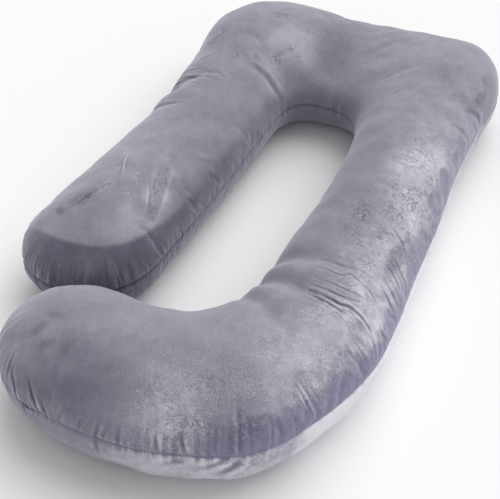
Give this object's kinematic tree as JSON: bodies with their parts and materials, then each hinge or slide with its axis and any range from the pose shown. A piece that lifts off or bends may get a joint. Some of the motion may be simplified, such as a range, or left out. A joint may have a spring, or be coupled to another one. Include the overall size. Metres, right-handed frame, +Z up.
{
  "type": "pregnancy pillow",
  "caption": "Full-body pregnancy pillow: a filled plush tube lying in a G, with a short arm, a broad head end, a long arm and a hook that curls in under the legs.",
  "frame": {"origin": "under the middle of the pillow's bounding box, on the surface it lies on", "axes": "+Z up, +Y along the pillow towards its head end, +X across it towards the long arm"},
  "size_m": [0.7976, 1.4174, 0.2282],
  "materials": {
    "plush": "soft brushed velvet plush"
  },
  "bodies": {
    "root": {"pillow": "plush"}
  },
  "joints": []
}
